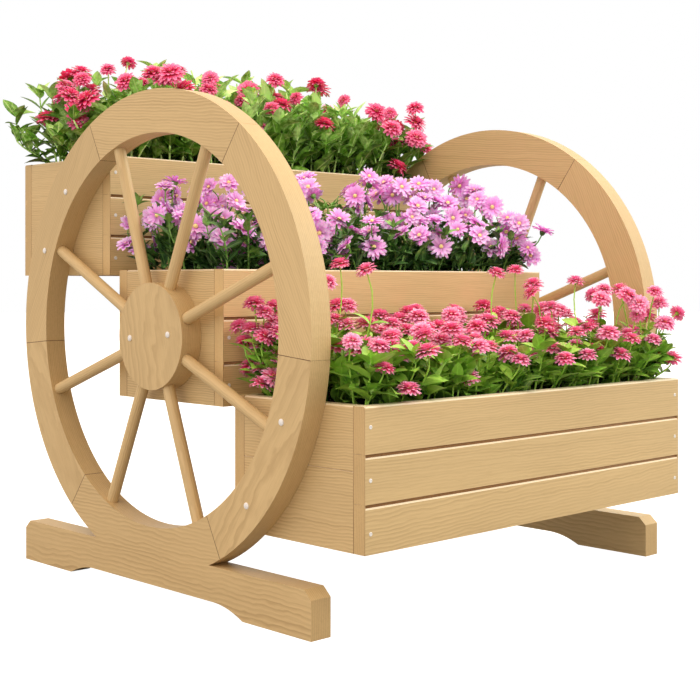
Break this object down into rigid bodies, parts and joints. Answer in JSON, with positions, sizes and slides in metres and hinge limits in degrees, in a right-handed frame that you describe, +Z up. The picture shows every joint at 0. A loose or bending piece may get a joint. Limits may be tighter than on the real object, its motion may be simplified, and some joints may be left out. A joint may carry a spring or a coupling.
{
  "type": "three-tier wagon wheel planter",
  "caption": "Stepped wooden planter: plank boxes hung one above another between two fixed wagon wheels on long feet, filled with flowers.",
  "frame": {"origin": "on the ground, under the middle of the planter's bounding box", "axes": "+X along the box fronts to the viewer's right, +Y to the rear where the highest box is, +Z up"},
  "size_m": [0.67, 0.724, 0.715],
  "materials": {
    "wheel_wood": "satin oiled softwood, straight fine grain",
    "box_wood": "satin oiled softwood boards, fine horizontal grain",
    "soil": "loose dark potting soil",
    "foliage": "matte leaves with a soft sheen",
    "petals": "matte petals, crimson, lilac or coral by tier",
    "fasteners": "white domed bolt caps and screw heads"
  },
  "bodies": {
    "root": {"left_felloe_1": "wheel_wood", "left_felloe_2": "wheel_wood", "left_felloe_3": "wheel_wood", "left_felloe_4": "wheel_wood", "left_felloe_5": "wheel_wood", "left_foot": "wheel_wood", "left_hub": "wheel_wood", "left_spoke_1": "wheel_wood", "left_spoke_2": "wheel_wood", "left_spoke_3": "wheel_wood", "left_spoke_4": "wheel_wood", "left_spoke_5": "wheel_wood", "left_spoke_6": "wheel_wood", "left_spoke_7": "wheel_wood", "left_spoke_8": "wheel_wood", "right_felloe_1": "wheel_wood", "right_felloe_2": "wheel_wood", "right_felloe_3": "wheel_wood", "right_felloe_4": "wheel_wood", "right_felloe_5": "wheel_wood", "right_foot": "wheel_wood", "right_hub": "wheel_wood", "right_spoke_1": "wheel_wood", "right_spoke_2": "wheel_wood", "right_spoke_3": "wheel_wood", "right_spoke_4": "wheel_wood", "right_spoke_5": "wheel_wood", "right_spoke_6": "wheel_wood", "right_spoke_7": "wheel_wood", "right_spoke_8": "wheel_wood", "front_front_board_1": "box_wood", "front_front_board_2": "box_wood", "front_front_board_3": "box_wood", "front_back": "box_wood", "front_left_side": "box_wood", "front_right_side": "box_wood", "front_floor": "box_wood", "front_soil": "soil", "front_planting": "foliage", "middle_front_board_1": "box_wood", "middle_front_board_2": "box_wood", "middle_front_board_3": "box_wood", "middle_back": "box_wood", "middle_left_side": "box_wood", "middle_right_side": "box_wood", "middle_floor": "box_wood", "middle_soil": "soil", "middle_planting": "foliage", "top_front_board_1": "box_wood", "top_front_board_2": "box_wood", "top_front_board_3": "box_wood", "top_back": "box_wood", "top_left_side": "box_wood", "top_right_side": "box_wood", "top_floor": "box_wood", "top_soil": "soil", "top_planting": "foliage"}
  },
  "joints": []
}
